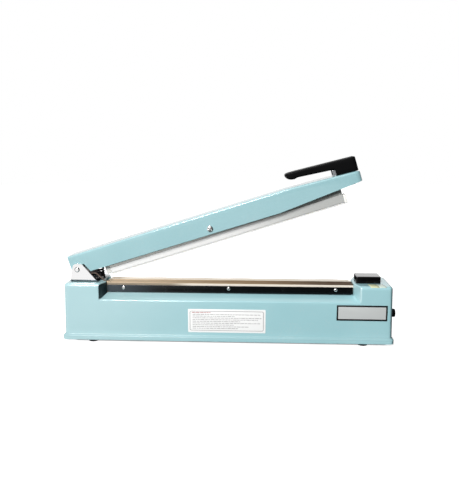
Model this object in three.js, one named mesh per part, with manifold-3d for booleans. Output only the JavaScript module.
// Hand impulse heat sealer: pressed-steel base with a cloth-covered sealing bed, and a channel
// arm on a hinge bracket that presses a silicone-faced bar on the bed.
// Millimetres, +Z up, +X from the hinge to the switch, -Y towards the user.
// The arm stands open, as it rests. Its pieces are drawn lying level, with the hinge pin at
// their origin, and one turned group lifts them.
import * as THREE from 'three';
import { mergeVertices } from 'three/addons/utils/BufferGeometryUtils.js';
import Module from 'manifold-3d';

const wasm = await Module();
wasm.setup();

// Clearances and overruns
const seat = 0.3;          // gap between pieces that rest on each other in a turned group
const play = 0.35;         // running gap of a sliding or turning fit, on the radius
const over = 2;            // how far a cutting solid runs past what it cuts
const arcSteps = 4;        // facets of a rounded edge
const roundSteps = 20;     // facets of a turned piece

// Base
const base = {
  length: 550, depth: 85, height: 100, wall: 1.4, footHeight: 5,
  skirtHeight: 9.5, skirtJut: 3, skirtSlope: 3, draftX: 1.6, draftY: 2.5,
  cornerRadius: 7, topRadius: 5,
};
const leftEnd = -base.length / 2;
const rightEnd = base.length / 2;
const recessSize = {
  leftFrontInset: 63.5, leftBedInset: 71, rightFrontInset: 57, rightBedInset: 65,
  frontInset: 4.5, notchInset: 65.5, creaseDrop: 27, flatDrop: 20, bedMargin: 3.3,
};
const plate = {
  thickness: 1.4, inset: 1, cornerRadius: 8,
  ventLength: 26, ventWidth: 3, ventPitch: 9, ventCount: 7,
};
const foot = {
  endInset: 49.5, sideInset: 12.5, topRadius: 9, bottomRadius: 8, stemRadius: 3,
  barbRadius: 4, barbLength: 2,
};

// Sealing bed
const bedSize = { leftGap: 4, rightGap: 3.7, halfWidth: 12.5, rise: 16, edgeRadius: 1 };
const tape = { thickness: 0.2, halfWidth: 8 };
const elementSize = { halfWidth: 2, thickness: 0.25, leftReach: 3.7, rightReach: 3.4 };
const clothSize = { thickness: 0.5, rise: 1, hemRise: 3, leftInset: 0.2, rightReach: 3.4 };
const stripSize = { rightGap: 0.7, rise: 13, height: 12.6, thickness: 1.5, cornerRadius: 2 };
const stripScrew = {
  endInset: 28.5, dropShare: 0.35, headRadius: 2.9, headHeight: 1.7, shankRadius: 1.6, length: 7,
};
const terminal = { thickness: 3.2, rise: 5, back: 5, front: 15.3, gap: 0.3 };
const lead = { radius: 1.1, holeGap: 1, fromPin: 14.5, frontY: 12, sides: 8, steps: 26 };

// Hinge
const pinSize = {
  endInset: 24.5, rise: 20.5, radius: 3, headRadius: 4, headHeight: 1.1, tail: 3.2,
  grooveRadius: 2.4, grooveFrom: 0.5, grooveWidth: 0.9,
};
const bracketSize = {
  endInset: 12.5, length: 46.5, sideGap: 1, thickness: 2, bendRadius: 3.5,
  tongueInset: 1, tongueHalf: 10, cheekBase: 3.6, cheekCrown: 9.6, crownRear: 3.5,
  crownFront: 8.2, footRise: 4.1, shoulderInset: 4.9, shoulderRise: 7,
  frontCorner: 2.5, rearCorner: 2, footCorner: 1,
};
const bracketScrew = {
  inset: 5.5, y: 13, headRadius: 3.4, headHeight: 1.8, shankRadius: 1.8, length: 9,
};
const clip = { radius: 5, thickness: 0.7, slot: 4.4, play: 0.1 };
const returnSpring = { inset: 3, radius: 5.2, wire: 1.6, turns: 9, sides: 5, curlSteps: 8 };

// Arm, in its own level frame
const openDegrees = 17.5;
const armSize = {
  halfWidth: 21, wall: 1.4, top: 25, bottom: -9, rear: -10, tipInset: 34.5, bendInset: 119,
  taperInset: 141, tipTop: 19, tipBottom: 2.2, edgeRadius: 3, tipRadius: 5,
  earRadius: 10, cutFootX: 20, cutTopX: 13.2, cutTopZ: 6,
};
const washer = { radius: 6, thickness: 0.7 };
const barSize = {
  pivotShare: 0.4538, left: 50, tipInset: 36, halfWidth: 10, wall: 1.8, top: 5, web: -18,
  bottom: -24, lip: 1.6, lipGap: 5.2, capLength: 8, slotRadius: 2.7, ledge: -11, railInset: 1.4,
};
const silicone = {
  halfWidth: 7, bottom: -27, reach: 5, headDepth: 2, play: 0.15, edgeRadius: 1,
};
const pivotScrew = { radius: 2.4, headRadius: 5, headHeight: 2.4, tail: 4.6 };
const pivotNut = { radius: 4.6, height: 3.2, sides: 6 };
const slideBlock = { halfLength: 6, sideGap: 0.4, top: 4, bottom: -6 };
const leaf = { length: 150, halfWidth: 9, thickness: 0.8, pad: 14, clearance: 0.8 };

// Handle on the arm's tip, in the arm's level frame
const handleSize = {
  halfWidth: 14, rootInset: 36, endInset: 1.4, endRise: 23.2, noseInset: 116.2, noseRise: 20.6,
  crownInset: 103, crownRise: 22.9, chinInset: 108, chinRise: 12.2, throatRise: 6.2,
  softening: 2, cornerRadius: 2, crownRadius: 6, noseRadius: 1,
};
const postSize = { width: 4.9, gap: 0.5, halfWidth: 11, topFall: 0.4, thickness: 1.5 };
const handleScrew = {
  firstInset: 7, secondInset: 26, radius: 1.9, headRadius: 3.6, headHeight: 2, bite: 10,
};
const strikerSize = { tipInset: 26, width: 14, thickness: 1.5, legHeight: 9 };

// Switch
const buttonSize = {
  endInset: 20.7, length: 39.8, halfDepth: 14, rise: 11.6, wall: 2.2, roof: 3, edgeRadius: 1.2,
  lip: 1.1, lipHeight: 1.4, stemRadius: 3, stemDrop: 11.5, travel: 3, cornerRadius: 1.5,
};
const guideSize = { wall: 1.2, floorDrop: 10, floorThickness: 1.4 };
const buttonSpring = { radius: 4.6, wire: 1, turns: 4, sides: 5, curlSteps: 8 };
const microswitchSize = {
  halfLength: 14, halfDepth: 5.2, height: 15, stemGap: 4.3, lugRadius: 1.6, edgeRadius: 1,
};
const plunger = { radius: 1.9, length: 8.4 };
const switchBracket = { thickness: 1.4, halfWidth: 9, armDrop: 5 };

// Timer, transformer and inlet
const timerSize = {
  z: 46.3, endInset: 23, boardHalf: 28, boardDrop: 24.3, boardRise: 19.7, boardThickness: 1.6,
};
const pot = { radius: 8.5, depth: 9, bushRadius: 3.6, bushLength: 5.5, shaftRadius: 2.6 };
const potNut = { radius: 6, height: 2, sides: 6 };
const knob = { radius: 7, length: 8.6, gap: 1.2, ribs: 14, ribRadius: 0.7, bore: 7, edge: 0.8 };
const relay = { length: 15, halfWidth: 9.5, height: 16, drop: 16.3, y: -13 };
const capacitor = { radius: 6, length: 22, rise: 5.7, y: 15 };
const lampSize = {
  rise: 27.7, radius: 3.6, lensRadius: 5, lensHeight: 1.1, crownShare: 0.8, length: 13,
};
const transformerSize = {
  x: -120, halfLength: 33, halfStack: 18, headroom: 16.2, limb: 11, middle: 22, coilGap: 0.6,
  coilBulge: 11, strapThickness: 1.5, strapWidth: 20, lugLength: 12,
};
const grommetSize = {
  endInset: 75, z: 32, radius: 7, bore: 3.4, flangeRadius: 9.5, flange: 1.6, depth: 6,
};

// Places that follow from the sizes
const plateBottom = base.footHeight + plate.inset;
const plateTop = plateBottom + plate.thickness;
const creaseZ = base.footHeight + base.skirtHeight;
const bodyHalfX = base.length / 2 - base.skirtJut;
const bodyHalfY = base.depth / 2 - base.skirtJut;
const endWallX = (z) => bodyHalfX - base.draftX * (z - creaseZ) / (base.height - creaseZ);
const backWallY = (z) => bodyHalfY - base.draftY * (z - creaseZ) / (base.height - creaseZ);
const recess = {
  leftFront: leftEnd + recessSize.leftFrontInset, leftBed: leftEnd + recessSize.leftBedInset,
  rightFront: rightEnd - recessSize.rightFrontInset, rightBed: rightEnd - recessSize.rightBedInset,
  frontY: base.depth / 2 - recessSize.frontInset, bedY: bedSize.halfWidth + recessSize.bedMargin,
  creaseZ: base.height - recessSize.creaseDrop, flatZ: base.height - recessSize.flatDrop,
  notchLeft: leftEnd + recessSize.notchInset,
};
const bed = {
  ...bedSize, left: recess.notchLeft + bedSize.leftGap, right: recess.rightBed - bedSize.rightGap,
  top: recess.flatZ + bedSize.rise,
};
const element = {
  ...elementSize, left: bed.left - elementSize.leftReach, right: bed.right + elementSize.rightReach,
};
const cloth = {
  ...clothSize, top: bed.top + clothSize.rise, bottom: recess.flatZ + clothSize.hemRise,
  left: bed.left + clothSize.leftInset, right: bed.right + clothSize.rightReach,
};
const strip = {
  ...stripSize, left: recess.leftBed + seat, right: recess.rightBed - stripSize.rightGap,
  top: recess.flatZ + stripSize.rise,
};
const terminalBottom = recess.flatZ + terminal.rise;
const floorTop = base.height + bracketSize.thickness;
const pin = { ...pinSize, x: leftEnd + pinSize.endInset, z: base.height + pinSize.rise };
const bracketLeft = leftEnd + bracketSize.endInset;
const bracketRight = bracketLeft + bracketSize.length;
const bracket = {
  ...bracketSize, left: bracketLeft, right: bracketRight,
  halfWidth: armSize.halfWidth + bracketSize.sideGap + bracketSize.thickness,
  tongueEnd: recess.notchLeft - bracketSize.tongueInset, top: pin.z + bracketSize.cheekCrown,
  crownLeft: pin.x - bracketSize.crownRear, crownRight: pin.x + bracketSize.crownFront,
  footRight: bracketRight - bracketSize.footRise, shoulderX: bracketLeft + bracketSize.shoulderInset,
  shoulderZ: pin.z + bracketSize.shoulderRise,
};
const bracketScrewX = bracket.right - bracketScrew.inset;
const returnSpringX = bracket.right - returnSpring.inset;
const armTipX = rightEnd - armSize.tipInset - pin.x;
const arm = {
  ...armSize, tipX: armTipX, bendX: armTipX - armSize.bendInset,
  taperX: armTipX - armSize.taperInset,
};
const barRight = arm.tipX - barSize.tipInset;
const bar = {
  ...barSize, right: barRight,
  pivotX: barSize.left + (barRight - barSize.left) * barSize.pivotShare,
  rail: barSize.halfWidth - barSize.railInset,
  channel: barSize.halfWidth - barSize.railInset - barSize.wall,
};
const handle = {
  ...handleSize, rootX: arm.tipX - handleSize.rootInset, endX: arm.tipX - handleSize.endInset,
  endTop: arm.tipTop + handleSize.endRise, noseX: arm.tipX - handleSize.noseInset,
  noseZ: arm.top + handleSize.noseRise, crownX: arm.tipX - handleSize.crownInset,
  crownZ: arm.top + handleSize.crownRise, chinX: arm.tipX - handleSize.chinInset,
  chinZ: arm.top + handleSize.chinRise, throatZ: arm.top + handleSize.throatRise,
};
const postRight = handle.rootX - postSize.gap;
const post = {
  ...postSize, right: postRight, left: postRight - postSize.width, top: handle.throatZ - seat,
};
const strikerLeft = arm.tipX - strikerSize.tipInset;
const striker = { ...strikerSize, left: strikerLeft, right: strikerLeft + strikerSize.width };
const buttonRight = rightEnd - buttonSize.endInset;
const button = {
  ...buttonSize, left: buttonRight - buttonSize.length, right: buttonRight,
  top: base.height + buttonSize.rise, stemBottom: base.height - buttonSize.stemDrop,
};
const guide = { ...guideSize, floor: base.height - guideSize.floorDrop };
const microswitch = { ...microswitchSize, top: button.stemBottom - microswitchSize.stemGap };
const timer = {
  ...timerSize, boardX: rightEnd - timerSize.endInset,
  boardBottom: timerSize.z - timerSize.boardDrop, boardTop: timerSize.z + timerSize.boardRise,
};
const lamp = { ...lampSize, z: timer.z + lampSize.rise };
const transformer = {
  ...transformerSize, height: recess.flatZ - base.wall - plateTop - transformerSize.headroom,
};
const grommet = { ...grommetSize, x: rightEnd - grommetSize.endInset };
const knobFace = endWallX(timer.z) + knob.gap;
const knobEnd = knobFace + potNut.height + knob.length;
const closedAngle = angleToReach(striker.left, flangeEdge(striker.left), button.top + seat);
const openAngle = THREE.MathUtils.degToRad(openDegrees);
const pivotClosedZ = pin.z + bar.pivotX * Math.sin(closedAngle);
const barFloat = -silicone.bottom - (pivotClosedZ - cloth.top - seat);

// Height of the arm's top and of its flange's lower edge, at a place along it
function armTop(x) {
  const share = Math.max(0, (x - arm.bendX) / (arm.tipX - arm.bendX));
  return arm.top + (arm.tipTop - arm.top) * share;
}

function flangeEdge(x) {
  const share = Math.max(0, (x - arm.taperX) / (arm.tipX - arm.taperX));
  return arm.bottom + (arm.tipBottom - arm.bottom) * share;
}

// Turn of the arm about its pin that brings the point x, z of the arm down to a height
function angleToReach(x, z, height) {
  return Math.asin((height - pin.z) / Math.hypot(x, z)) - Math.atan2(z, x);
}

// Solids
function solid(geometry) {
  const bare = geometry.clone();
  bare.deleteAttribute('normal');
  bare.deleteAttribute('uv');
  const merged = mergeVertices(bare);
  const mesh = new wasm.Mesh({
    numProp: 3,
    vertProperties: new Float32Array(merged.attributes.position.array),
    triVerts: new Uint32Array(merged.index.array),
  });
  return new wasm.Manifold(mesh);
}

function geometryOf(manifold) {
  const mesh = manifold.getMesh();
  const geometry = new THREE.BufferGeometry();
  geometry.setAttribute('position', new THREE.BufferAttribute(mesh.vertProperties, 3));
  geometry.setIndex(new THREE.BufferAttribute(mesh.triVerts, 1));
  return geometry;
}

function cut(body, ...tools) {
  return geometryOf(tools.reduce((left, tool) => left.subtract(solid(tool)), solid(body)));
}

function join(...pieces) {
  const [first, ...rest] = pieces.map(solid);
  return geometryOf(rest.reduce((sum, piece) => sum.add(piece), first));
}

function common(first, second) {
  return geometryOf(solid(first).intersect(solid(second)));
}

// Flat outline through corner points, each with its own fillet radius: [u, v, radius]
function outline(corners) {
  const shape = new THREE.Shape();
  corners.forEach(([u, v, radius = 0], index) => {
    const here = new THREE.Vector2(u, v);
    const before = corners[(index + corners.length - 1) % corners.length];
    const after = corners[(index + 1) % corners.length];
    const toBefore = new THREE.Vector2(before[0] - u, before[1] - v).normalize();
    const toAfter = new THREE.Vector2(after[0] - u, after[1] - v).normalize();
    const start = here.clone().addScaledVector(toBefore, radius);
    const end = here.clone().addScaledVector(toAfter, radius);
    if (index === 0) shape.moveTo(start.x, start.y);
    else shape.lineTo(start.x, start.y);
    if (radius > 0) shape.quadraticCurveTo(u, v, end.x, end.y);
  });
  shape.closePath();
  return shape;
}

const upX = new THREE.Matrix4().makeBasis(
  new THREE.Vector3(0, 1, 0), new THREE.Vector3(0, 0, 1), new THREE.Vector3(1, 0, 0));
const upY = new THREE.Matrix4().makeRotationX(Math.PI / 2);

function prismZ(shape, from, to) {
  const options = { depth: to - from, bevelEnabled: false, curveSegments: arcSteps };
  return new THREE.ExtrudeGeometry(shape, options).translate(0, 0, from);
}

// Outline in y and z, carried along x
function prismX(shape, from, to) {
  return prismZ(shape, from, to).applyMatrix4(upX);
}

// Outline in x and z, carried along y
function prismY(shape, from, to) {
  return prismZ(shape, -to, -from).applyMatrix4(upY);
}

function rectangle(left, bottom, right, top, radius = 0) {
  return outline([
    [left, bottom, radius], [right, bottom, radius], [right, top, radius], [left, top, radius],
  ]);
}

function box(x0, x1, y0, y1, z0, z1) {
  return prismZ(rectangle(x0, y0, x1, y1), z0, z1);
}

const alongAxis = {
  x: new THREE.Matrix4().makeRotationZ(-Math.PI / 2),
  y: new THREE.Matrix4(),
  z: new THREE.Matrix4().makeRotationX(Math.PI / 2),
};

// Turned piece: profile points [radius, place along the axis], first and last on the axis
function turned(profile, axis, steps = roundSteps) {
  const points = profile.map(([radius, place]) => new THREE.Vector2(radius, place));
  return new THREE.LatheGeometry(points, steps).applyMatrix4(alongAxis[axis]);
}

function rod(radius, from, to, axis, steps = roundSteps) {
  return turned([[0, from], [radius, from], [radius, to], [0, to]], axis, steps);
}

// Closed skin over rings of points that all have the same count, with flat ends
function loft(rings) {
  const count = rings[0].length;
  const positions = rings.flat(2);
  const faces = [];
  for (let row = 0; row < rings.length - 1; row++) {
    for (let k = 0; k < count; k++) {
      const a = row * count + k;
      const b = row * count + (k + 1) % count;
      faces.push(a, b, b + count, a, b + count, a + count);
    }
  }
  const last = (rings.length - 1) * count;
  for (let k = 1; k < count - 1; k++) {
    faces.push(0, k + 1, k);
    faces.push(last, last + k, last + k + 1);
  }
  const geometry = new THREE.BufferGeometry();
  geometry.setAttribute('position', new THREE.Float32BufferAttribute(positions, 3));
  geometry.setIndex(faces);
  return geometry;
}

// Round-headed screw: head above the origin, shank below, along +z before it is turned
function screwProfile(size) {
  return [
    [0, -size.length], [size.shankRadius, -size.length], [size.shankRadius, 0],
    [size.headRadius, 0], [size.headRadius * Math.cos(Math.PI / 6), size.headHeight / 2],
    [size.headRadius / 2, size.headHeight], [0, size.headHeight],
  ];
}

// Round wire along points, with flat ends
function wire(points, radius, sides, steps) {
  const path = new THREE.CatmullRomCurve3(points, false, 'centripetal');
  const section = new THREE.Shape();
  section.absarc(0, 0, radius, 0, 2 * Math.PI, false);
  return new THREE.ExtrudeGeometry(section, {
    steps, extrudePath: path, bevelEnabled: false, curveSegments: sides,
  });
}

// Coil spring: a helix whose two ends run straight, along its axis, for one wire diameter.
// It prints the least gap between one curl and the next.
function coilSpring(name, x, bottom, top, size) {
  const rings = size.turns * size.curlSteps;
  const rise = top - bottom - 2 * size.wire;
  const centres = [];
  for (let k = 0; k <= rings; k++) {
    const turn = 2 * Math.PI * k / size.curlSteps;
    centres.push(new THREE.Vector3(
      x + size.radius * Math.cos(turn), size.radius * Math.sin(turn),
      bottom + size.wire + rise * k / rings));
  }
  const first = centres[0].clone().setZ(bottom);
  const last = centres[rings].clone().setZ(top);
  let least = Infinity;
  for (let k = size.curlSteps; k <= rings; k++) {
    for (let j = 0; j <= k - size.curlSteps / 2; j++) {
      least = Math.min(least, centres[k].distanceTo(centres[j]) - size.wire);
    }
  }
  console.log(`${name}: least gap between curls ${least.toFixed(2)} mm`);
  const section = [];
  for (let s = 0; s < size.sides; s++) {
    const turn = 2 * Math.PI * s / size.sides;
    section.push([size.wire / 2 * Math.cos(turn), size.wire / 2 * Math.sin(turn)]);
  }
  const outward = (k) => {
    const turn = 2 * Math.PI * k / size.curlSteps;
    return new THREE.Vector3(Math.cos(turn), Math.sin(turn), 0);
  };
  const ringAt = (centre, out, along) => {
    const side = new THREE.Vector3().crossVectors(along, out).normalize();
    return section.map(([u, v]) => {
      const point = centre.clone().addScaledVector(out, u).addScaledVector(side, v);
      return [point.x, point.y, point.z];
    });
  };
  const straight = new THREE.Vector3(0, 0, 1);
  const skin = [ringAt(first, outward(0), straight)];
  centres.forEach((centre, k) => {
    const before = k === 0 ? first : centres[k - 1];
    const after = k === rings ? last : centres[k + 1];
    skin.push(ringAt(centre, outward(k), after.clone().sub(before).normalize()));
  });
  skin.push(ringAt(last, outward(rings), straight));
  return loft(skin);
}

// Base housing: rounded rectangles stacked up, drawn in by the draft, with a skirt below
// and a rounded top edge
function roundedRing(halfX, halfY, radius, z) {
  const ring = [];
  const centres = [[1, 1], [-1, 1], [-1, -1], [1, -1]];
  centres.forEach(([signX, signY], corner) => {
    for (let k = 0; k <= arcSteps; k++) {
      const turn = Math.PI / 2 * (corner + k / arcSteps);
      ring.push([
        signX * (halfX - radius) + radius * Math.cos(turn),
        signY * (halfY - radius) + radius * Math.sin(turn), z,
      ]);
    }
  });
  return ring;
}

function housingSkin(inset, bottom) {
  const rings = [];
  const addRing = (halfX, halfY, z, drawnIn = 0) => {
    const radius = Math.max(base.cornerRadius - inset - drawnIn, base.wall);
    rings.push(roundedRing(halfX - inset - drawnIn, halfY - inset - drawnIn, radius, z));
  };
  const skirtTop = creaseZ - base.skirtSlope;
  addRing(base.length / 2, base.depth / 2, bottom);
  addRing(base.length / 2, base.depth / 2, skirtTop);
  addRing(bodyHalfX, bodyHalfY, creaseZ);
  for (let k = 0; k <= arcSteps; k++) {
    const turn = Math.PI / 2 * k / arcSteps;
    const radius = base.topRadius - inset;
    const z = base.height - inset - radius + radius * Math.sin(turn);
    addRing(endWallX(z), backWallY(z), z, radius * (1 - Math.cos(turn)));
  }
  return loft(rings);
}

// Space above the sunk middle: a roof line in y and z, between end walls that open outwards
function recessSpace(grow) {
  const reach = base.depth / 2 + over;
  const slope = (recess.flatZ - recess.creaseZ) / (recess.frontY - recess.bedY);
  const lowZ = recess.creaseZ - slope * (reach - recess.frontY);
  const top = base.height + over;
  const roof = outline([
    [-reach, lowZ - grow], [-recess.bedY, recess.flatZ - grow],
    [recess.bedY, recess.flatZ - grow], [reach, lowZ - grow], [reach, top], [-reach, top],
  ]);
  const share = (reach - recess.bedY) / (recess.frontY - recess.bedY);
  const leftFar = recess.leftBed + (recess.leftFront - recess.leftBed) * share;
  const rightFar = recess.rightBed + (recess.rightFront - recess.rightBed) * share;
  const plan = outline([
    [leftFar - grow, -reach], [rightFar + grow, -reach],
    [recess.rightBed + grow, -recess.bedY], [recess.rightBed + grow, recess.bedY],
    [rightFar + grow, reach], [leftFar - grow, reach],
    [recess.leftBed - grow, recess.bedY], [recess.leftBed - grow, -recess.bedY],
  ]);
  const space = common(prismX(roof, leftFar - over, rightFar + over),
    prismZ(plan, lowZ - over, top));
  const notch = box(recess.notchLeft - grow, recess.leftBed + over,
    -recess.bedY - grow, recess.bedY + grow, recess.flatZ - grow, top);
  return join(space, notch);
}

function housingGeometry() {
  const cavity = cut(housingSkin(base.wall, base.footHeight - over), recessSpace(base.wall));
  const buttonHole = prismZ(
    rectangle(button.left - play, -button.halfDepth - play, button.right + play,
      button.halfDepth + play, button.cornerRadius), lipTop - over, base.height + over);
  const holes = [
    rod(pot.bushRadius + play, 0, base.length / 2, 'x').translate(0, 0, timer.z),
    rod(lamp.radius + play, 0, base.length / 2, 'x').translate(0, 0, lamp.z),
    rod(grommet.radius, 0, base.depth / 2, 'y').translate(grommet.x, 0, grommet.z),
    rod(lead.radius + lead.holeGap, recess.flatZ, base.height + over, 'z').translate(
      leadStart.x, leadStart.y, 0),
    rod(lead.radius + lead.holeGap, creaseZ, recess.flatZ + over, 'z').translate(rightLeadX, 0, 0),
    ...[-1, 1].map((side) => rod(bracketScrew.shankRadius + play, recess.flatZ,
      base.height + over, 'z').translate(bracketScrewX, side * bracketScrew.y, 0)),
  ];
  return cut(housingSkin(0, base.footHeight), recessSpace(0), cavity, buttonHole, ...holes);
}

function basePlateGeometry() {
  const halfX = base.length / 2 - base.wall - play;
  const halfY = base.depth / 2 - base.wall - play;
  const sheet = prismZ(rectangle(-halfX, -halfY, halfX, halfY, plate.cornerRadius),
    plateBottom, plateTop);
  const vents = [];
  for (let k = 0; k < plate.ventCount; k++) {
    const x = transformer.x + plate.ventPitch * (plate.ventCount + k);
    vents.push(prismZ(rectangle(x - plate.ventWidth / 2, -plate.ventLength / 2,
      x + plate.ventWidth / 2, plate.ventLength / 2), plateBottom - over, plateTop + over));
  }
  const stemHoles = footPlaces.map(([x, y]) =>
    rod(foot.stemRadius + play, plateBottom - over, plateTop + over, 'z').translate(x, y, 0));
  return cut(sheet, ...vents, ...stemHoles);
}

const footX = base.length / 2 - foot.endInset;
const footY = base.depth / 2 - foot.sideInset;
const footPlaces = [[-footX, -footY], [footX, -footY], [-footX, footY], [footX, footY]];
const footNames = ['front_left', 'front_right', 'rear_left', 'rear_right'];

function footGeometry() {
  const neck = plateTop + play;
  return turned([
    [0, 0], [foot.bottomRadius, 0], [foot.topRadius, plateBottom], [foot.stemRadius, plateBottom],
    [foot.stemRadius, neck], [foot.barbRadius, neck], [foot.stemRadius, neck + foot.barbLength],
    [0, neck + foot.barbLength],
  ], 'z');
}

// Bed, tape, element, cloth and strips
const screwPlaces = [strip.left + stripScrew.endInset, (strip.left + strip.right) / 2,
  strip.right - stripScrew.endInset];
const stripScrewZ = strip.top - strip.height * stripScrew.dropShare;
const clothFace = bed.halfWidth + cloth.thickness;
const stripFace = clothFace + strip.thickness;

function bedScrewHoles() {
  const reach = stripFace + over;
  return screwPlaces.map((x) =>
    rod(stripScrew.shankRadius + play, -reach, reach, 'y').translate(x, 0, stripScrewZ));
}

function bedGeometry() {
  const section = outline([
    [-bed.halfWidth, recess.flatZ], [bed.halfWidth, recess.flatZ],
    [bed.halfWidth, bed.top, bed.edgeRadius], [-bed.halfWidth, bed.top, bed.edgeRadius],
  ]);
  return cut(prismX(section, bed.left, bed.right), ...bedScrewHoles());
}

function clothGeometry() {
  const inner = cloth.top - cloth.thickness;
  const radius = bed.edgeRadius + cloth.thickness;
  const outside = outline([
    [-clothFace, cloth.bottom], [clothFace, cloth.bottom],
    [clothFace, cloth.top, radius], [-clothFace, cloth.top, radius],
  ]);
  const inside = outline([
    [-bed.halfWidth, cloth.bottom - over], [bed.halfWidth, cloth.bottom - over],
    [bed.halfWidth, inner, bed.edgeRadius], [-bed.halfWidth, inner, bed.edgeRadius],
  ]);
  return cut(prismX(outside, cloth.left, cloth.right),
    prismX(inside, cloth.left - over, cloth.right + over), ...bedScrewHoles());
}

function elementGeometry() {
  const bottom = bed.top + tape.thickness;
  return box(element.left, element.right, -element.halfWidth, element.halfWidth,
    bottom, bottom + element.thickness);
}

function stripGeometry() {
  const face = rectangle(strip.left, strip.top - strip.height, strip.right, strip.top,
    strip.cornerRadius);
  return cut(prismY(face, -stripFace, -clothFace), ...bedScrewHoles());
}

// Leads: the left one rises through the bracket and comes down to its terminal
const leadStart = new THREE.Vector3(pin.x + lead.fromPin, -lead.frontY, recess.flatZ + base.wall);
const leftTerminalX = bed.left - terminal.gap - terminal.thickness / 2;
const leftLeadY = lead.radius + seat - terminal.front;
const rightLeadX = bed.right + terminal.gap + terminal.thickness / 2;
// Points of the leads: places along them, from their start and from the base's right top end
const leftRoute = [
  [3, -12.2, 6.5], [9, -12.8, 11.4], [15, -13.2, 10.2], [21.4, -13.5, 4.4], [26.4, -13.8, 0.4],
];
const leftLead = [
  leadStart, leadStart.clone().setZ(floorTop + over),
  ...leftRoute.map(([x, y, z]) => new THREE.Vector3(leadStart.x + x, y, floorTop + z)),
  new THREE.Vector3(leftTerminalX, leftLeadY, bed.top + over),
  new THREE.Vector3(leftTerminalX, leftLeadY, bed.top + seat),
];
const rightRoute = [[63, 2, 40], [53, 5, 48], [39, 8, 54], [timer.endInset + seat, 8, 56]];
const rightLead = [
  new THREE.Vector3(rightLeadX, 0, terminalBottom - seat),
  new THREE.Vector3(rightLeadX, 0, recess.flatZ - recessSize.creaseDrop / 3),
  ...rightRoute.map(([x, y, z]) => new THREE.Vector3(rightEnd - x, y, base.height - z)),
];

// Hinge bracket: a bent U section, trimmed to the outline of its cheeks
function bracketGeometry() {
  const half = bracket.halfWidth;
  const inner = half - bracket.thickness;
  const section = outline([
    [-half, base.height, bracket.bendRadius], [half, base.height, bracket.bendRadius],
    [half, bracket.top + over], [inner, bracket.top + over],
    [inner, floorTop, bracket.bendRadius - bracket.thickness],
    [-inner, floorTop, bracket.bendRadius - bracket.thickness],
    [-inner, bracket.top + over], [-half, bracket.top + over],
  ]);
  const cheek = outline([
    [bracket.left, base.height - over], [bracket.tongueEnd, base.height - over],
    [bracket.tongueEnd, floorTop], [bracket.right, floorTop],
    [bracket.footRight, base.height + bracket.cheekBase, bracket.footCorner],
    [bracket.crownRight, bracket.top, bracket.frontCorner],
    [bracket.crownLeft, bracket.top, bracket.rearCorner],
    [bracket.shoulderX, bracket.shoulderZ, bracket.rearCorner],
    [bracket.left, base.height + bracket.cheekBase],
  ]);
  const whole = common(prismX(section, bracket.left, bracket.tongueEnd),
    prismY(cheek, -half - over, half + over));
  const sides = [-1, 1].map((side) => {
    const edges = [side * bracket.tongueHalf, side * (half + over)].sort((a, b) => a - b);
    return box(bracket.right, bracket.tongueEnd + over, edges[0], edges[1],
      base.height - over, floorTop + over);
  });
  const holes = [
    rod(pin.radius + play, -half - over, half + over, 'y').translate(pin.x, 0, pin.z),
    rod(lead.radius + lead.holeGap, base.height - over, floorTop + over, 'z').translate(
      leadStart.x, leadStart.y, 0),
    ...[-1, 1].map((side) => rod(bracketScrew.shankRadius + play, base.height - over,
      floorTop + over, 'z').translate(bracketScrewX, side * bracketScrew.y, 0)),
  ];
  return cut(whole, ...sides, ...holes);
}

function pinGeometry() {
  const face = bracket.halfWidth;
  const groove = face + pin.grooveFrom;
  return turned([
    [0, -face - pin.headHeight], [pin.headRadius, -face - pin.headHeight],
    [pin.headRadius, -face], [pin.radius, -face], [pin.radius, groove],
    [pin.grooveRadius, groove], [pin.grooveRadius, groove + pin.grooveWidth],
    [pin.radius, groove + pin.grooveWidth], [pin.radius, face + pin.tail], [0, face + pin.tail],
  ], 'y').translate(pin.x, 0, pin.z);
}

function clipGeometry() {
  const from = bracket.halfWidth + pin.grooveFrom + (pin.grooveWidth - clip.thickness) / 2;
  const ring = rod(clip.radius, from, from + clip.thickness, 'y');
  const bore = rod(pin.grooveRadius + clip.play, 0, base.depth, 'y');
  const slot = box(-clip.slot / 2, clip.slot / 2, 0, base.depth, -clip.radius - over, 0);
  return cut(ring, bore, slot).translate(pin.x, 0, pin.z);
}

// Arm: a channel lofted along its length, closed and rounded at the tip
function armRing(x, inset, drawnIn, bottom) {
  const half = arm.halfWidth - inset - drawnIn;
  const top = armTop(x) - inset;
  const radius = Math.max(arm.edgeRadius - inset, arm.wall / 2);
  const ring = [[x, -half, bottom], [x, half, bottom]];
  [[1, 0], [-1, 1]].forEach(([side, quarter]) => {
    for (let k = 0; k <= arcSteps; k++) {
      const turn = Math.PI / 2 * (quarter + k / arcSteps);
      ring.push([x, side * (half - radius) + radius * Math.cos(turn),
        top - radius + radius * Math.sin(turn)]);
    }
  });
  return ring;
}

function armSkin(inset, rear, bottomAt) {
  const radius = arm.tipRadius - inset;
  const rings = [rear, arm.taperX, arm.bendX].map((x) => armRing(x, inset, 0, bottomAt(x)));
  for (let k = 0; k <= arcSteps; k++) {
    const turn = Math.PI / 2 * k / arcSteps;
    const x = arm.tipX - inset - radius + radius * Math.sin(turn);
    rings.push(armRing(x, inset, radius * (1 - Math.cos(turn)), bottomAt(x)));
  }
  return loft(rings);
}

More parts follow.
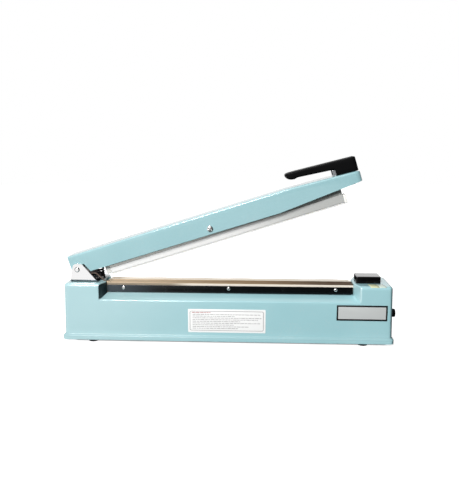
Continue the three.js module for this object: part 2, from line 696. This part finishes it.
function armGeometry() {
  const outer = armSkin(0, arm.rear, flangeEdge);
  const inner = armSkin(arm.wall, arm.rear - over, (x) => flangeEdge(x) - over);
  const reach = arm.halfWidth + over;
  const ear = new THREE.Shape();
  ear.moveTo(arm.rear - over, arm.bottom - over);
  ear.lineTo(arm.cutFootX + over / 2, arm.bottom - over);
  ear.lineTo(arm.cutFootX, arm.bottom);
  ear.lineTo(arm.cutTopX, arm.cutTopZ);
  ear.absarc(0, 0, arm.earRadius, Math.PI / 6, -Math.PI, true);
  ear.lineTo(arm.rear - over, 0);
  ear.closePath();
  const options = { depth: 2 * reach, bevelEnabled: false, curveSegments: roundSteps };
  const undercut = new THREE.ExtrudeGeometry(ear, options).translate(0, 0, -reach);
  const screwHoles = handleScrewPlaces.map(([x]) =>
    rod(handleScrew.radius + play, 0, armTop(x) + over, 'z').translate(x, 0, 0));
  return cut(outer, inner, undercut.applyMatrix4(upY),
    rod(pin.radius + play, -reach, reach, 'y'),
    rod(pivotScrew.radius + play, -reach, reach, 'y').translate(bar.pivotX, 0, 0),
    ...screwHoles);
}

const handleScrewPlaces = [[handle.rootX + handleScrew.firstInset, 'handle_screw_inner'],
  [handle.rootX + handleScrew.secondInset, 'handle_screw_outer']];

function ringGeometry(radius, bore, from, to) {
  return cut(rod(radius, from, to, 'y'), rod(bore, from - over, to + over, 'y'));
}

// Pressing bar: an open channel above, and a lipped groove below that holds the silicone
function barGeometry() {
  const half = bar.halfWidth;
  const inside = half - bar.wall;
  const underWeb = bar.web - bar.wall;
  const section = outline([
    [-half, bar.bottom], [-bar.lipGap, bar.bottom], [-bar.lipGap, bar.bottom + bar.lip],
    [-inside, bar.bottom + bar.lip], [-inside, underWeb], [inside, underWeb],
    [inside, bar.bottom + bar.lip], [bar.lipGap, bar.bottom + bar.lip],
    [bar.lipGap, bar.bottom], [half, bar.bottom], [half, bar.ledge], [bar.rail, bar.ledge],
    [bar.rail, bar.top], [bar.channel, bar.top], [bar.channel, bar.web],
    [-bar.channel, bar.web], [-bar.channel, bar.top], [-bar.rail, bar.top],
    [-bar.rail, bar.ledge], [-half, bar.ledge],
  ]);
  const radius = bar.slotRadius;
  const slot = outline([
    [bar.pivotX - radius, radius, radius], [bar.pivotX - radius, -barFloat - radius, radius],
    [bar.pivotX + radius, -barFloat - radius, radius], [bar.pivotX + radius, radius, radius],
  ]);
  return cut(prismX(section, bar.left, bar.right), prismY(slot, -half - over, half + over));
}

function barCapGeometry() {
  const from = bar.left - bar.capLength;
  return prismX(rectangle(-bar.halfWidth, bar.bottom, bar.halfWidth, bar.top,
    bar.lip), from, bar.left - seat);
}

function siliconeGeometry() {
  const head = bar.halfWidth - bar.wall - silicone.play;
  const neck = bar.lipGap - silicone.play;
  const shoulder = bar.bottom + bar.lip + silicone.play;
  const under = bar.bottom - silicone.play;
  const section = outline([
    [-silicone.halfWidth, silicone.bottom, silicone.edgeRadius],
    [silicone.halfWidth, silicone.bottom, silicone.edgeRadius],
    [silicone.halfWidth, under], [neck, under], [neck, shoulder], [head, shoulder],
    [head, shoulder + silicone.headDepth], [-head, shoulder + silicone.headDepth],
    [-head, shoulder], [-neck, shoulder], [-neck, under], [-silicone.halfWidth, under],
  ]);
  return prismX(section, bar.left, bar.right + silicone.reach);
}

function leafGeometry() {
  const top = arm.top - arm.wall - seat;
  const low = bar.top + barFloat + leaf.clearance + leaf.thickness;
  const steps = 12;
  const upper = [];
  for (let k = 0; k <= steps; k++) {
    const share = 2 * k / steps - 1;
    upper.push([bar.pivotX + share * leaf.length / 2, low + (top - low) * share * share]);
  }
  upper.push([bar.pivotX + leaf.length / 2 + leaf.pad, top]);
  const lower = upper.map(([x, z]) => [x, z - leaf.thickness]).reverse();
  return prismY(outline([...lower, ...upper]), -leaf.halfWidth, leaf.halfWidth);
}

// Handle: a wedge whose root stands on the arm's tip and whose grip points to the hinge
function handleGeometry() {
  const soft = handle.softening;
  const side = outline([
    [handle.rootX + soft, armTop(handle.rootX) + seat + soft],
    [handle.endX - soft, armTop(handle.endX) + seat + soft],
    [handle.endX - soft, handle.endTop - soft, handle.cornerRadius],
    [handle.crownX, handle.crownZ - soft, handle.crownRadius],
    [handle.noseX + soft, handle.noseZ - soft, handle.noseRadius],
    [handle.chinX, handle.chinZ + soft, handle.cornerRadius],
    [handle.rootX + soft, handle.throatZ + soft, handle.cornerRadius],
  ]);
  const options = {
    depth: 2 * (handle.halfWidth - soft), bevelEnabled: true, bevelThickness: soft,
    bevelSize: soft, bevelSegments: 2, curveSegments: arcSteps,
  };
  const body = new THREE.ExtrudeGeometry(side, options)
    .translate(0, 0, soft - handle.halfWidth).applyMatrix4(upY);
  const underside = (x) => armTop(x) + seat;
  const foot = outline([
    [handle.rootX - over, underside(handle.rootX - over) - handle.softening * 2],
    [handle.endX + over, underside(handle.endX + over) - handle.softening * 2],
    [handle.endX + over, underside(handle.endX + over)],
    [handle.rootX - over, underside(handle.rootX - over)],
  ]);
  const holes = handleScrewPlaces.map(([x]) =>
    rod(handleScrew.radius + play, 0, armTop(x) + handleScrew.bite + play, 'z')
      .translate(x, 0, 0));
  return cut(body, prismY(foot, -handle.halfWidth - over, handle.halfWidth + over), ...holes);
}

// Bent steel bracket that stands under the grip, in front of the handle's root
function postGeometry() {
  const section = outline([
    [post.left, armTop(post.left) + seat], [post.right, armTop(post.right) + seat],
    [post.right, post.top - post.topFall], [post.left, post.top],
  ]);
  const hollow = box(post.left + post.thickness, post.right - post.thickness,
    -post.halfWidth + post.thickness, post.halfWidth + over,
    arm.tipTop - over, post.top - post.thickness);
  return cut(prismY(section, -post.halfWidth, post.halfWidth), hollow);
}

// Striker: a folded plate inside the arm's tip, its face level with the button when shut
function strikerGeometry() {
  const half = arm.halfWidth - arm.wall - seat;
  const section = outline([
    [-half, 0], [half, 0], [half, striker.legHeight], [half - striker.thickness, striker.legHeight],
    [half - striker.thickness, striker.thickness], [-half + striker.thickness, striker.thickness],
    [-half + striker.thickness, striker.legHeight], [-half, striker.legHeight],
  ]);
  return prismX(section, 0, striker.right - striker.left)
    .rotateY(closedAngle).translate(striker.left, 0, flangeEdge(striker.left));
}

// Switch button, its guide, spring, microswitch and plunger
const lipTop = base.height - base.wall - seat;

function buttonGeometry() {
  const skirtBottom = lipTop - button.lipHeight;
  const outside = rectangle(button.left, -button.halfDepth, button.right, button.halfDepth,
    button.cornerRadius);
  const body = prismZ(outside, skirtBottom, button.top - button.edgeRadius);
  const crown = prismZ(rectangle(button.left + button.edgeRadius,
    -button.halfDepth + button.edgeRadius, button.right - button.edgeRadius,
    button.halfDepth - button.edgeRadius, button.cornerRadius),
  button.top - button.edgeRadius, button.top);
  const lip = prismZ(rectangle(button.left - button.lip, -button.halfDepth - button.lip,
    button.right + button.lip, button.halfDepth + button.lip, button.cornerRadius),
  skirtBottom, lipTop);
  const hollow = prismZ(rectangle(button.left + button.wall, -button.halfDepth + button.wall,
    button.right - button.wall, button.halfDepth - button.wall, button.cornerRadius),
  skirtBottom - over, button.top - button.roof);
  const shell = cut(join(body, crown, lip), hollow);
  const stem = rod(button.stemRadius, button.stemBottom, button.top - button.roof, 'z')
    .translate(buttonX, 0, 0);
  return join(shell, stem);
}

const buttonX = (button.left + button.right) / 2;
const plungerTop = button.stemBottom - seat;

function guideGeometry() {
  const inside = [button.left - button.lip - play, button.right + button.lip + play,
    button.halfDepth + button.lip + play];
  const tray = box(inside[0] - guide.wall, inside[1] + guide.wall, -inside[2] - guide.wall,
    inside[2] + guide.wall, guide.floor, base.height - base.wall);
  const room = box(inside[0], inside[1], -inside[2], inside[2],
    guide.floor + guide.floorThickness, base.height);
  const bore = rod(button.stemRadius + play, guide.floor - over, base.height, 'z')
    .translate(buttonX, 0, 0);
  return cut(tray, room, bore);
}

function microswitchGeometry() {
  const { halfLength, halfDepth, height, top, lugRadius, edgeRadius } = microswitch;
  const body = prismX(rectangle(-halfDepth, top - height, halfDepth, top, edgeRadius),
    buttonX - halfLength, buttonX + halfLength);
  const wellBottom = plungerTop - plunger.length - button.travel - play;
  const well = rod(plunger.radius + play, wellBottom, top + over, 'z').translate(buttonX, 0, 0);
  const lugs = [-1, 1].map((side) => rod(lugRadius, -halfDepth - over, halfDepth + over, 'y')
    .translate(buttonX + side * halfLength * 2 / 3, 0, top - height / 2));
  return cut(body, well, ...lugs);
}

function switchBracketGeometry() {
  const { halfLength, halfDepth, top } = microswitch;
  const wall = switchBracket.thickness;
  const low = top - microswitch.height / 2 - switchBracket.armDrop;
  const section = outline([
    [halfDepth, low], [halfDepth + wall, low], [halfDepth + wall, guide.floor - wall],
    [halfDepth + switchBracket.halfWidth, guide.floor - wall],
    [halfDepth + switchBracket.halfWidth, guide.floor], [halfDepth, guide.floor],
  ]);
  return prismX(section, buttonX - halfLength, buttonX + halfLength);
}

// Timer board with its parts, the control and its knob on the end wall
function boardGeometry() {
  const sheet = box(timer.boardX, timer.boardX + timer.boardThickness, -timer.boardHalf,
    timer.boardHalf, timer.boardBottom, timer.boardTop);
  const bore = rod(pot.shaftRadius, 0, base.length / 2, 'x').translate(0, 0, timer.z);
  return cut(sheet, bore);
}

function potGeometry() {
  const back = timer.boardX + timer.boardThickness;
  const face = endWallX(timer.z) - base.wall - seat;
  const bushEnd = face + base.wall + seat + pot.bushLength;
  return turned([
    [0, back], [pot.radius, back], [pot.radius, back + pot.depth],
    [pot.bushRadius, back + pot.depth], [pot.bushRadius, bushEnd],
    [0, bushEnd],
  ], 'x').translate(0, 0, timer.z);
}

function potNutGeometry() {
  const from = endWallX(timer.z) + seat;
  return cut(rod(potNut.radius, from, from + potNut.height, 'x', potNut.sides),
    rod(pot.bushRadius + play, 0, base.length, 'x')).translate(0, 0, timer.z);
}

function knobGeometry() {
  const from = knobFace + potNut.height;
  const ring = [];
  for (let k = 0; k < knob.ribs * 4; k++) {
    const turn = 2 * Math.PI * k / (knob.ribs * 4);
    const radius = knob.radius - (k % 4 < 2 ? 0 : knob.ribRadius);
    ring.push([radius * Math.cos(turn), radius * Math.sin(turn)]);
  }
  const ringAt = (x, shrink) => ring.map(([u, v]) => {
    const share = 1 - shrink / knob.radius;
    return [x, u * share, v * share];
  });
  const body = loft([ringAt(from, 0), ringAt(knobEnd - knob.edge, 0), ringAt(knobEnd, knob.edge)]);
  const bore = rod(pot.bushRadius + play, from - over, from + knob.bore, 'x');
  return cut(body, bore).translate(0, 0, timer.z);
}

function lampGeometry() {
  const face = endWallX(lamp.z);
  return turned([
    [0, face - lamp.length], [lamp.radius, face - lamp.length], [lamp.radius, face + seat],
    [lamp.lensRadius, face + seat], [lamp.lensRadius * lamp.crownShare, face + lamp.lensHeight + seat],
    [0, face + lamp.lensHeight + seat],
  ], 'x').translate(0, 0, lamp.z);
}

// Transformer: laminated core with two windows, and a winding round the middle limb
function coreGeometry() {
  const { halfLength, halfStack, height, limb, middle } = transformer;
  const stack = box(-halfLength, halfLength, -halfStack, halfStack, 0, height);
  const windows = [-1, 1].map((side) => {
    const near = side * middle / 2;
    const far = side * (halfLength - limb);
    return box(Math.min(near, far), Math.max(near, far), -halfStack - over, halfStack + over,
      limb, height - limb);
  });
  return cut(stack, ...windows).translate(transformer.x, 0, plateTop);
}

function coilGeometry() {
  const { halfLength, halfStack, height, limb, middle, coilGap, coilBulge } = transformer;
  const halfX = halfLength - limb - coilGap;
  const halfY = halfStack + coilBulge;
  const winding = prismZ(rectangle(-halfX, -halfY, halfX, halfY, coilBulge * 2 / 3),
    limb + coilGap, height - limb - coilGap);
  const hole = box(-middle / 2 - coilGap, middle / 2 + coilGap, -halfStack - coilGap,
    halfStack + coilGap, 0, height);
  return cut(winding, hole).translate(transformer.x, 0, plateTop);
}

function strapGeometry() {
  const { halfLength, height, strapThickness, strapWidth, lugLength } = transformer;
  const inside = halfLength + seat;
  const outside = inside + strapThickness;
  const lug = outside + lugLength;
  const top = height + seat;
  const band = outline([
    [-lug, 0], [-inside, 0], [-inside, top], [inside, top], [inside, 0], [lug, 0],
    [lug, strapThickness], [outside, strapThickness], [outside, top + strapThickness],
    [-outside, top + strapThickness], [-outside, strapThickness], [-lug, strapThickness],
  ]);
  return prismY(band, -strapWidth / 2, strapWidth / 2).translate(transformer.x, 0, plateTop);
}

function grommetGeometry() {
  const wall = backWallY(grommet.z);
  const ring = turned([
    [0, wall - grommet.depth], [grommet.radius - play, wall - grommet.depth],
    [grommet.radius - play, wall + play], [grommet.flangeRadius, wall + play],
    [grommet.flangeRadius, wall + play + grommet.flange], [0, wall + play + grommet.flange],
  ], 'y');
  return cut(ring, rod(grommet.bore, 0, base.depth, 'y')).translate(grommet.x, 0, grommet.z);
}

// Finishes
const finish = (color, roughness, metalness = 0) =>
  new THREE.MeshStandardMaterial({ color, roughness, metalness });
const finishes = {
  paint: finish(0xa2d0d5, 0.35), chrome: finish(0xe6e6e6, 0.15, 1),
  steel: finish(0xb4b6b8, 0.35, 1), zinc: finish(0xa9abad, 0.45, 1),
  aluminium: finish(0xc9cbcd, 0.35, 1), silicone: finish(0xf1efe8, 0.6),
  black: finish(0x0c0c0d, 0.3), blackPaint: finish(0x1c1f21, 0.35),
  rubber: finish(0x1d1e20, 0.8), cloth: finish(0xa98d6c, 0.6), brass: finish(0xb78b4a, 0.35, 1),
  nichrome: finish(0x8d8a86, 0.4, 1), tape: finish(0xe9e2cf, 0.8),
  sleeve: finish(0xe2dccd, 0.7), spring: finish(0x1a1a1c, 0.4, 0.6),
  nylon: finish(0xe8e6df, 0.5), phenolic: finish(0x6b4a34, 0.6),
  board: finish(0x4f7a3a, 0.5), relayBlue: finish(0x2b4f7d, 0.4), copper: finish(0xa8602f, 0.4),
  lens: finish(0xb8261c, 0.2), laminations: finish(0x4b4d50, 0.6, 0.5),
};

// Assembly
const sealer = new THREE.Group();
const turnedArm = new THREE.Group();
turnedArm.position.set(pin.x, 0, pin.z);
turnedArm.rotation.y = -openAngle;
sealer.add(turnedArm);

function add(name, geometry, material, parent = sealer) {
  const mesh = new THREE.Mesh(geometry, material);
  mesh.name = name;
  parent.add(mesh);
  return mesh;
}

// Base pieces
add('housing', housingGeometry(), finishes.paint);
add('base_plate', basePlateGeometry(), finishes.zinc);
footPlaces.forEach(([x, y], index) => {
  add(`foot_${footNames[index]}`, footGeometry(), finishes.rubber).position.set(x, y, 0);
});
add('seal_bed', bedGeometry(), finishes.phenolic);
add('bed_tape', box(bed.left, bed.right, -tape.halfWidth, tape.halfWidth, bed.top,
  bed.top + tape.thickness), finishes.tape);
add('heating_element', elementGeometry(), finishes.nichrome);
add('ptfe_cloth', clothGeometry(), finishes.cloth);
add('clamp_strip_front', stripGeometry(), finishes.blackPaint);
add('clamp_strip_rear', stripGeometry().translate(0, stripFace + clothFace, 0),
  finishes.blackPaint);
const screwSides = [['front', -1], ['rear', 1]];
const screwNames = ['left', 'middle', 'right'];
screwSides.forEach(([sideName, side]) => {
  screwPlaces.forEach((x, index) => {
    const screw = add(`strip_screw_${sideName}_${screwNames[index]}`,
      turned(screwProfile(stripScrew), 'y', roundSteps / 2), finishes.zinc);
    screw.position.set(x, side * stripFace, stripScrewZ);
    screw.rotation.x = side < 0 ? Math.PI : 0;
  });
});
add('element_terminal_left', box(leftTerminalX - terminal.thickness / 2,
  leftTerminalX + terminal.thickness / 2, -terminal.front, terminal.back, terminalBottom,
  bed.top), finishes.brass);
add('element_terminal_right', box(rightLeadX - terminal.thickness / 2,
  rightLeadX + terminal.thickness / 2, -terminal.back, terminal.back, terminalBottom,
  bed.top), finishes.brass);
add('heater_lead_left', wire(leftLead, lead.radius, lead.sides, lead.steps), finishes.sleeve);
add('heater_lead_right', wire(rightLead, lead.radius, lead.sides, lead.steps), finishes.sleeve);

// Hinge pieces
add('hinge_bracket', bracketGeometry(), finishes.chrome);
screwSides.forEach(([sideName, side]) => {
  add(`bracket_screw_${sideName}`, turned(screwProfile(bracketScrew), 'z', roundSteps / 2),
    finishes.chrome).position.set(bracketScrewX, side * bracketScrew.y, floorTop);
});
add('hinge_pin', pinGeometry(), finishes.chrome);
add('hinge_pin_clip', clipGeometry(), finishes.steel);
const springUnder = returnSpringX - returnSpring.radius - returnSpring.wire / 2 - pin.x;
const springTop = pin.z + springUnder * Math.tan(openAngle)
  + (arm.top - arm.wall) / Math.cos(openAngle) - seat;
add('return_spring', coilSpring('return_spring', returnSpringX, floorTop, springTop,
  returnSpring), finishes.spring);

// Arm pieces
add('arm_channel', armGeometry(), finishes.paint, turnedArm);
screwSides.forEach(([sideName, side]) => {
  const middle = (arm.halfWidth + bracket.halfWidth - bracket.thickness) / 2;
  add(`hinge_washer_${sideName}`, ringGeometry(washer.radius, pin.radius + play,
    side * middle - washer.thickness / 2, side * middle + washer.thickness / 2),
  finishes.nylon, turnedArm);
});
add('pressing_bar', barGeometry(), finishes.aluminium, turnedArm);
add('bar_end_cap', barCapGeometry(), finishes.nylon, turnedArm);
add('silicone_strip', siliconeGeometry(), finishes.silicone, turnedArm);
add('bar_slide_block', cut(
  box(bar.pivotX - slideBlock.halfLength, bar.pivotX + slideBlock.halfLength,
    slideBlock.sideGap - bar.channel, bar.channel - slideBlock.sideGap,
    slideBlock.bottom, slideBlock.top),
  rod(pivotScrew.radius + play, -arm.halfWidth, arm.halfWidth, 'y')
    .translate(bar.pivotX, 0, 0)), finishes.nylon, turnedArm);
add('bar_pivot_screw', turned([
  [0, -arm.halfWidth - seat - pivotScrew.headHeight],
  [pivotScrew.headRadius / 2, -arm.halfWidth - seat - pivotScrew.headHeight],
  [pivotScrew.headRadius, -arm.halfWidth - seat - pivotScrew.headHeight / 3],
  [pivotScrew.headRadius, -arm.halfWidth - seat], [pivotScrew.radius, -arm.halfWidth - seat],
  [pivotScrew.radius, arm.halfWidth + pivotScrew.tail], [0, arm.halfWidth + pivotScrew.tail],
], 'y').translate(bar.pivotX, 0, 0), finishes.zinc, turnedArm);
add('bar_pivot_nut', cut(rod(pivotNut.radius, arm.halfWidth + seat,
  arm.halfWidth + seat + pivotNut.height, 'y', pivotNut.sides),
rod(pivotScrew.radius + seat, 0, base.depth, 'y')).translate(bar.pivotX, 0, 0),
finishes.zinc, turnedArm);
add('pressure_leaf', leafGeometry(), finishes.steel, turnedArm);
add('handle', handleGeometry(), finishes.black, turnedArm);
add('handle_post', postGeometry(), finishes.steel, turnedArm);
handleScrewPlaces.forEach(([x, name]) => {
  const under = armTop(x) - arm.wall - seat * 2;
  add(name, turned([
    [0, under - handleScrew.headHeight], [handleScrew.headRadius, under - handleScrew.headHeight],
    [handleScrew.headRadius, under], [handleScrew.radius, under],
    [handleScrew.radius, armTop(x) + handleScrew.bite], [0, armTop(x) + handleScrew.bite],
  ], 'y', roundSteps / 2).rotateX(Math.PI / 2).translate(x, 0, 0), finishes.zinc, turnedArm);
});
add('switch_striker', strikerGeometry(), finishes.zinc, turnedArm);

// Switch pieces
add('switch_button', buttonGeometry(), finishes.black);
add('button_guide', guideGeometry(), finishes.nylon);
add('button_spring', coilSpring('button_spring', buttonX, guide.floor + guide.floorThickness,
  button.top - button.roof - seat, buttonSpring), finishes.steel);
add('microswitch', microswitchGeometry(), finishes.blackPaint);
add('switch_plunger', rod(plunger.radius, plungerTop - plunger.length, plungerTop, 'z')
  .translate(buttonX, 0, 0), finishes.lens);
add('switch_bracket', switchBracketGeometry(), finishes.zinc);

// Timer, lamp, transformer and inlet
add('timer_board', boardGeometry(), finishes.board);
add('timer_pot', potGeometry(), finishes.steel);
add('pot_nut', potNutGeometry(), finishes.zinc);
add('timer_knob', knobGeometry(), finishes.black);
const relayZ = timer.z - relay.drop;
add('board_relay', box(timer.boardX - relay.height, timer.boardX,
  relay.y - relay.halfWidth, relay.y + relay.halfWidth, relayZ - relay.length / 2,
  relayZ + relay.length / 2), finishes.relayBlue);
add('board_capacitor', rod(capacitor.radius, timer.boardX - capacitor.length, timer.boardX, 'x')
  .translate(0, capacitor.y, timer.z + capacitor.rise), finishes.blackPaint);
add('pilot_lamp', lampGeometry(), finishes.lens);
add('transformer_core', coreGeometry(), finishes.laminations);
add('transformer_coil', coilGeometry(), finishes.copper);
add('transformer_strap', strapGeometry(), finishes.zinc);
add('cable_grommet', grommetGeometry(), finishes.rubber);

// The origin is under the middle of the whole object, knob included
sealer.position.x = (base.length / 2 - knobEnd) / 2;

console.log(`closed ${THREE.MathUtils.radToDeg(closedAngle).toFixed(3)} deg, float `
  + `${barFloat.toFixed(3)} mm, origin shift ${sealer.position.x.toFixed(3)} mm`);

export default sealer;
